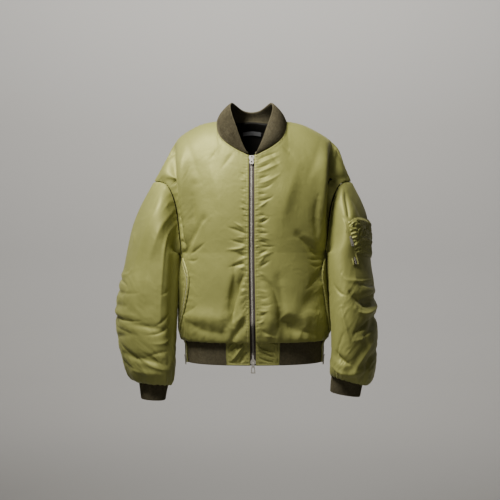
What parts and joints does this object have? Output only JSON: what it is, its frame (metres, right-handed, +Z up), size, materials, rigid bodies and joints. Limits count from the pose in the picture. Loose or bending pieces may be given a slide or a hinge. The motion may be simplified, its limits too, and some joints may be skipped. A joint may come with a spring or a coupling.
{
  "type": "bomber jacket",
  "caption": "Oversized olive satin-nylon bomber jacket, zipped, filled out as worn with nobody in it, with rib collar, cuffs and hem.",
  "frame": {"origin": "between the shoulders at the height of the neck seam, where the wearer's shoulders carry the jacket", "axes": "+X to the wearer's left, +Y to the back, +Z up"},
  "size_m": [0.7402, 0.3001, 0.8309],
  "materials": {
    "olive_nylon": "satin-weave nylon over light wadding, soft sheen",
    "olive_rib": "matt rib knit, dark olive brown",
    "zip_tape": "woven zip tape, very dark brown",
    "zip_metal": "nickel-plated, polished",
    "lining": "black taffeta lining",
    "label": "bare grey woven label"
  },
  "bodies": {
    "jacket": {"front_left": "olive_nylon", "front_right": "olive_nylon", "back": "olive_nylon", "sleeve_left": "olive_nylon", "sleeve_right": "olive_nylon", "hem_tab_left": "olive_nylon", "hem_tab_right": "olive_nylon", "sleeve_pocket": "olive_nylon", "collar": "olive_rib", "cuff_left": "olive_rib", "cuff_right": "olive_rib", "hem_rib_front_left": "olive_rib", "hem_rib_front_right": "olive_rib", "hem_rib_back": "olive_rib", "zip_tape_left": "zip_tape", "zip_tape_right": "zip_tape", "side_zip_left": "zip_tape", "side_zip_right": "zip_tape", "pocket_zip": "zip_tape", "zip_teeth": "zip_metal", "zip_slider_top": "zip_metal", "zip_slider_bottom": "zip_metal", "side_zip_slider_left": "zip_metal", "side_zip_slider_right": "zip_metal", "pocket_zip_slider": "zip_metal", "neck_lining": "lining", "neck_label": "label"},
    "top_pull": {"zip_pull_top": "zip_metal"},
    "bottom_pull": {"zip_pull_bottom": "zip_metal"},
    "left_side_pull": {"side_zip_pull_left": "zip_metal"},
    "right_side_pull": {"side_zip_pull_right": "zip_metal"},
    "pocket_pull": {"pocket_zip_pull": "zip_metal"}
  },
  "joints": [
    {"name": "top_pull_hinge", "type": "hinge", "parent": "jacket", "child": "top_pull", "pos_m": [0, -0.1181, -0.09273], "axis": [-1, 0, 0], "range_deg": [0, 150]},
    {"name": "bottom_pull_hinge", "type": "hinge", "parent": "jacket", "child": "bottom_pull", "pos_m": [0.00396, -0.13978, -0.6541], "axis": [-1, 0.0004, -0.0062], "range_deg": [0, 150]},
    {"name": "left_side_pull_hinge", "type": "hinge", "parent": "jacket", "child": "left_side_pull", "pos_m": [0.20175, -0.05529, -0.64061], "axis": [-0.3982, -0.9128, 0.0913], "range_deg": [0, 150]},
    {"name": "right_side_pull_hinge", "type": "hinge", "parent": "jacket", "child": "right_side_pull", "pos_m": [-0.1854, -0.0551, -0.64069], "axis": [-0.3672, 0.9254, -0.0934], "range_deg": [0, 150]},
    {"name": "pocket_pull_hinge", "type": "hinge", "parent": "jacket", "child": "pocket_pull", "pos_m": [0.26904, -0.1175, -0.31233], "axis": [-0.8884, -0.4219, -0.181], "range_deg": [0, 150]}
  ]
}
